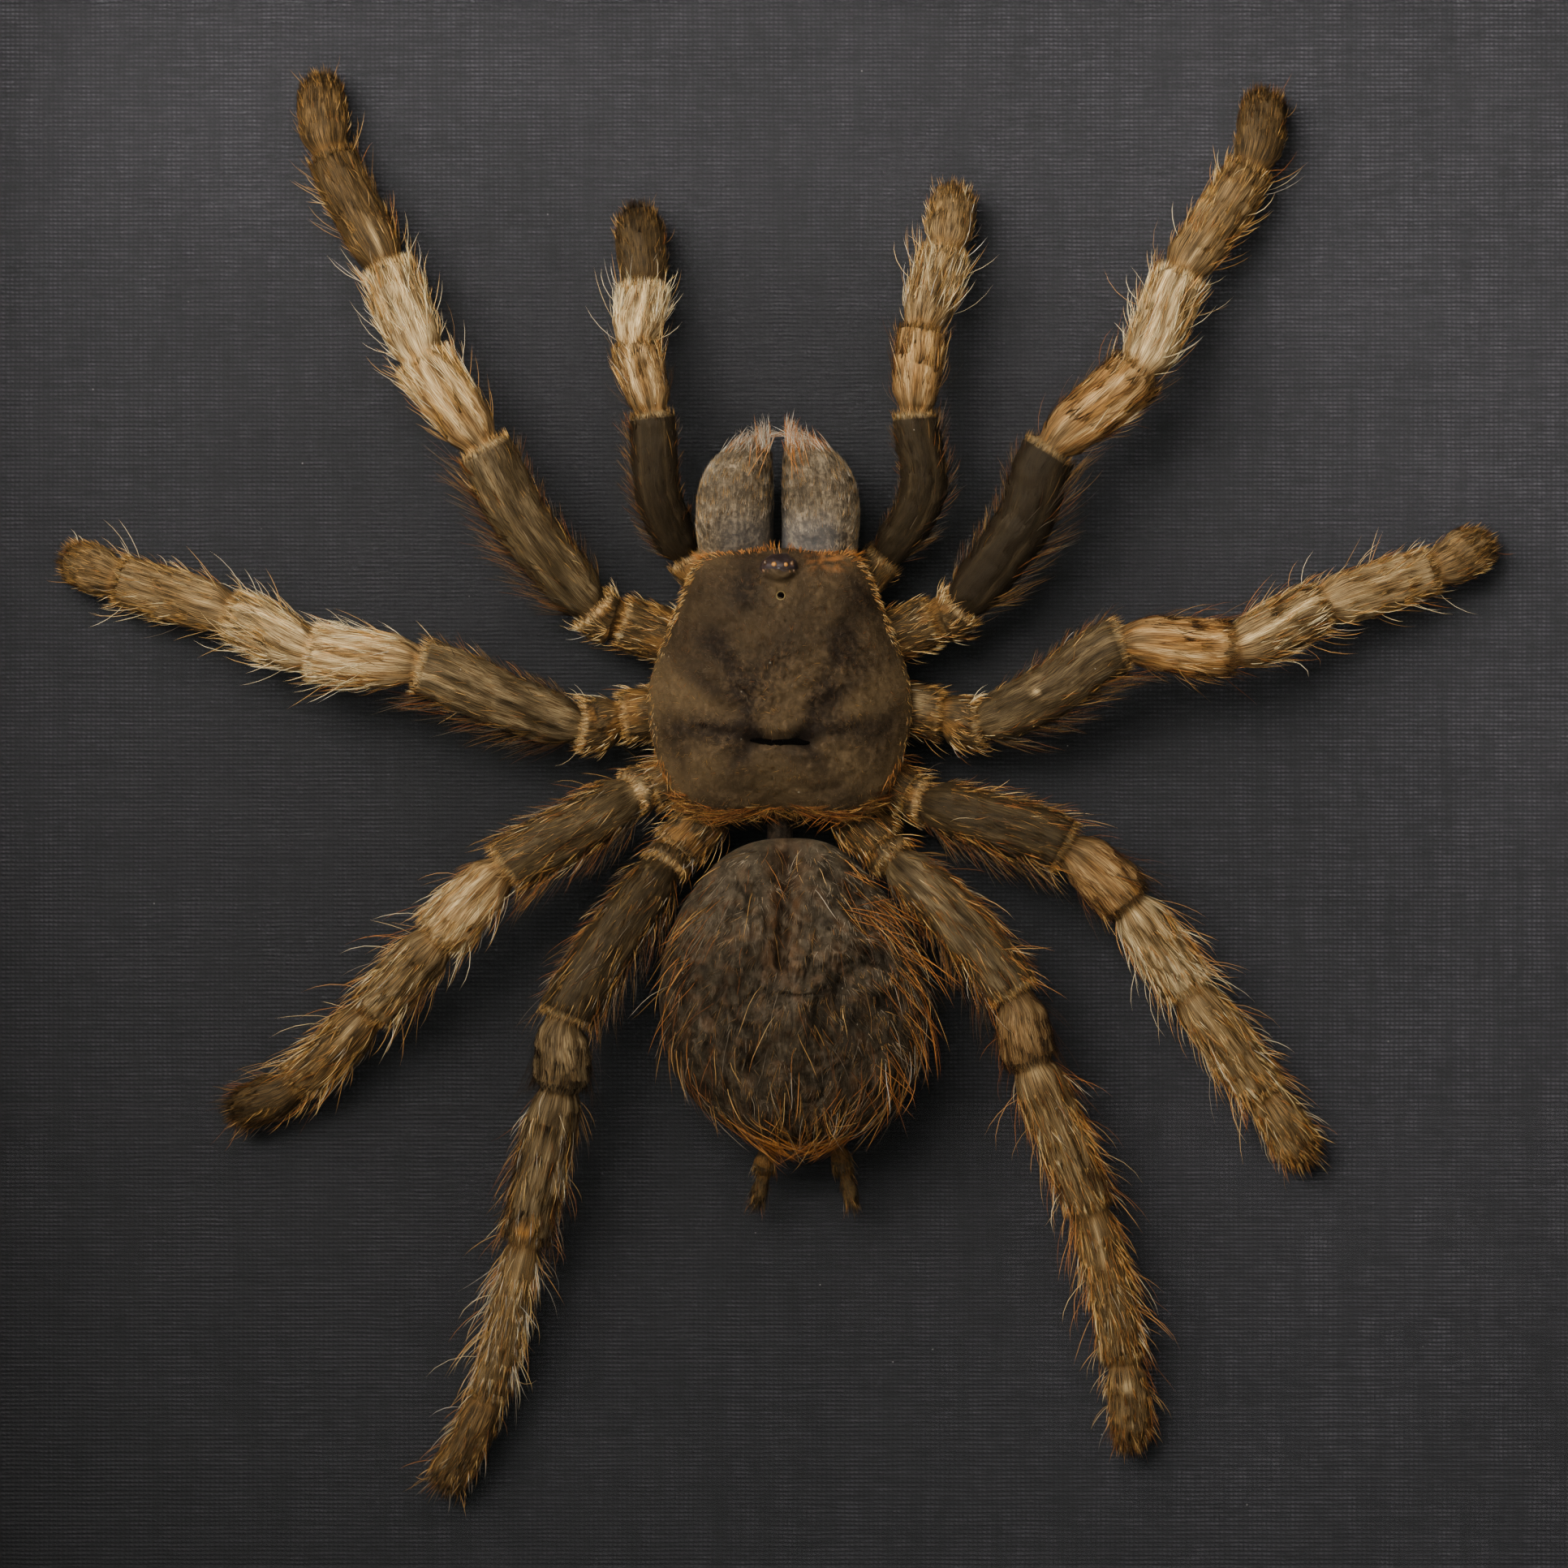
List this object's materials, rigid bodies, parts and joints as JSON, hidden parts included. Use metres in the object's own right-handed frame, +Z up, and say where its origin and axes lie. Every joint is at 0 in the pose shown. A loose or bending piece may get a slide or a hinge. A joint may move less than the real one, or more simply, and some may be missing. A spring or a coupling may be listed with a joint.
{
  "type": "framed tarantula specimen",
  "caption": "Dried tarantula laid out legs spread on a dark linen card, behind glass in a square wooden box frame that stands on a shelf or hangs on a wall.",
  "frame": {"origin": "middle of the frame's foot, on the underside of the bottom rail", "axes": "+Z up, -Y out of the glass towards the viewer, +X to the viewer's right"},
  "size_m": [0.2, 0.047, 0.2],
  "materials": {
    "stained_wood": "dark stained, satin varnish",
    "picture_glass": "clear, low reflection",
    "spacer_card": "matt charcoal",
    "linen_card": "matt charcoal with an embossed linen finish",
    "foam_core": "matt white",
    "hardboard": "bare hardboard",
    "zinc_steel": "zinc plated",
    "brass": "brass plated, satin",
    "rubber": "matt black",
    "carapace_skin": "dry, velvety, dark brown",
    "leg_skin": "dry, hairy, golden brown with cream stripes",
    "abdomen_skin": "dry, wrinkled, grey brown with rust-coloured hair",
    "fang_horn": "glossy near black"
  },
  "bodies": {
    "root": {"rail_bottom": "stained_wood", "rail_left": "stained_wood", "rail_top": "stained_wood", "rail_right": "stained_wood", "glass": "picture_glass", "spacer_bottom": "spacer_card", "spacer_left": "spacer_card", "spacer_top": "spacer_card", "spacer_right": "spacer_card", "linen_card": "linen_card", "foam_board": "foam_core", "back_panel": "hardboard", "fixing_point_1": "zinc_steel", "fixing_point_2": "zinc_steel", "fixing_point_3": "zinc_steel", "fixing_point_4": "zinc_steel", "fixing_point_5": "zinc_steel", "fixing_point_6": "zinc_steel", "fixing_point_7": "zinc_steel", "fixing_point_8": "zinc_steel", "hanger": "brass", "hanger_nail_left": "zinc_steel", "hanger_nail_right": "zinc_steel", "bumper_left": "rubber", "bumper_right": "rubber", "carapace": "carapace_skin", "sternum": "carapace_skin", "chelicera_left": "carapace_skin", "chelicera_right": "carapace_skin", "pedicel": "carapace_skin", "fang_left": "fang_horn", "fang_right": "fang_horn", "pedipalp_left": "leg_skin", "pedipalp_right": "leg_skin", "leg_1_left": "leg_skin", "leg_2_left": "leg_skin", "leg_3_left": "leg_skin", "leg_4_left": "leg_skin", "leg_1_right": "leg_skin", "leg_2_right": "leg_skin", "leg_3_right": "leg_skin", "leg_4_right": "leg_skin", "abdomen": "abdomen_skin", "spinneret_left": "abdomen_skin", "spinneret_right": "abdomen_skin"}
  },
  "joints": []
}
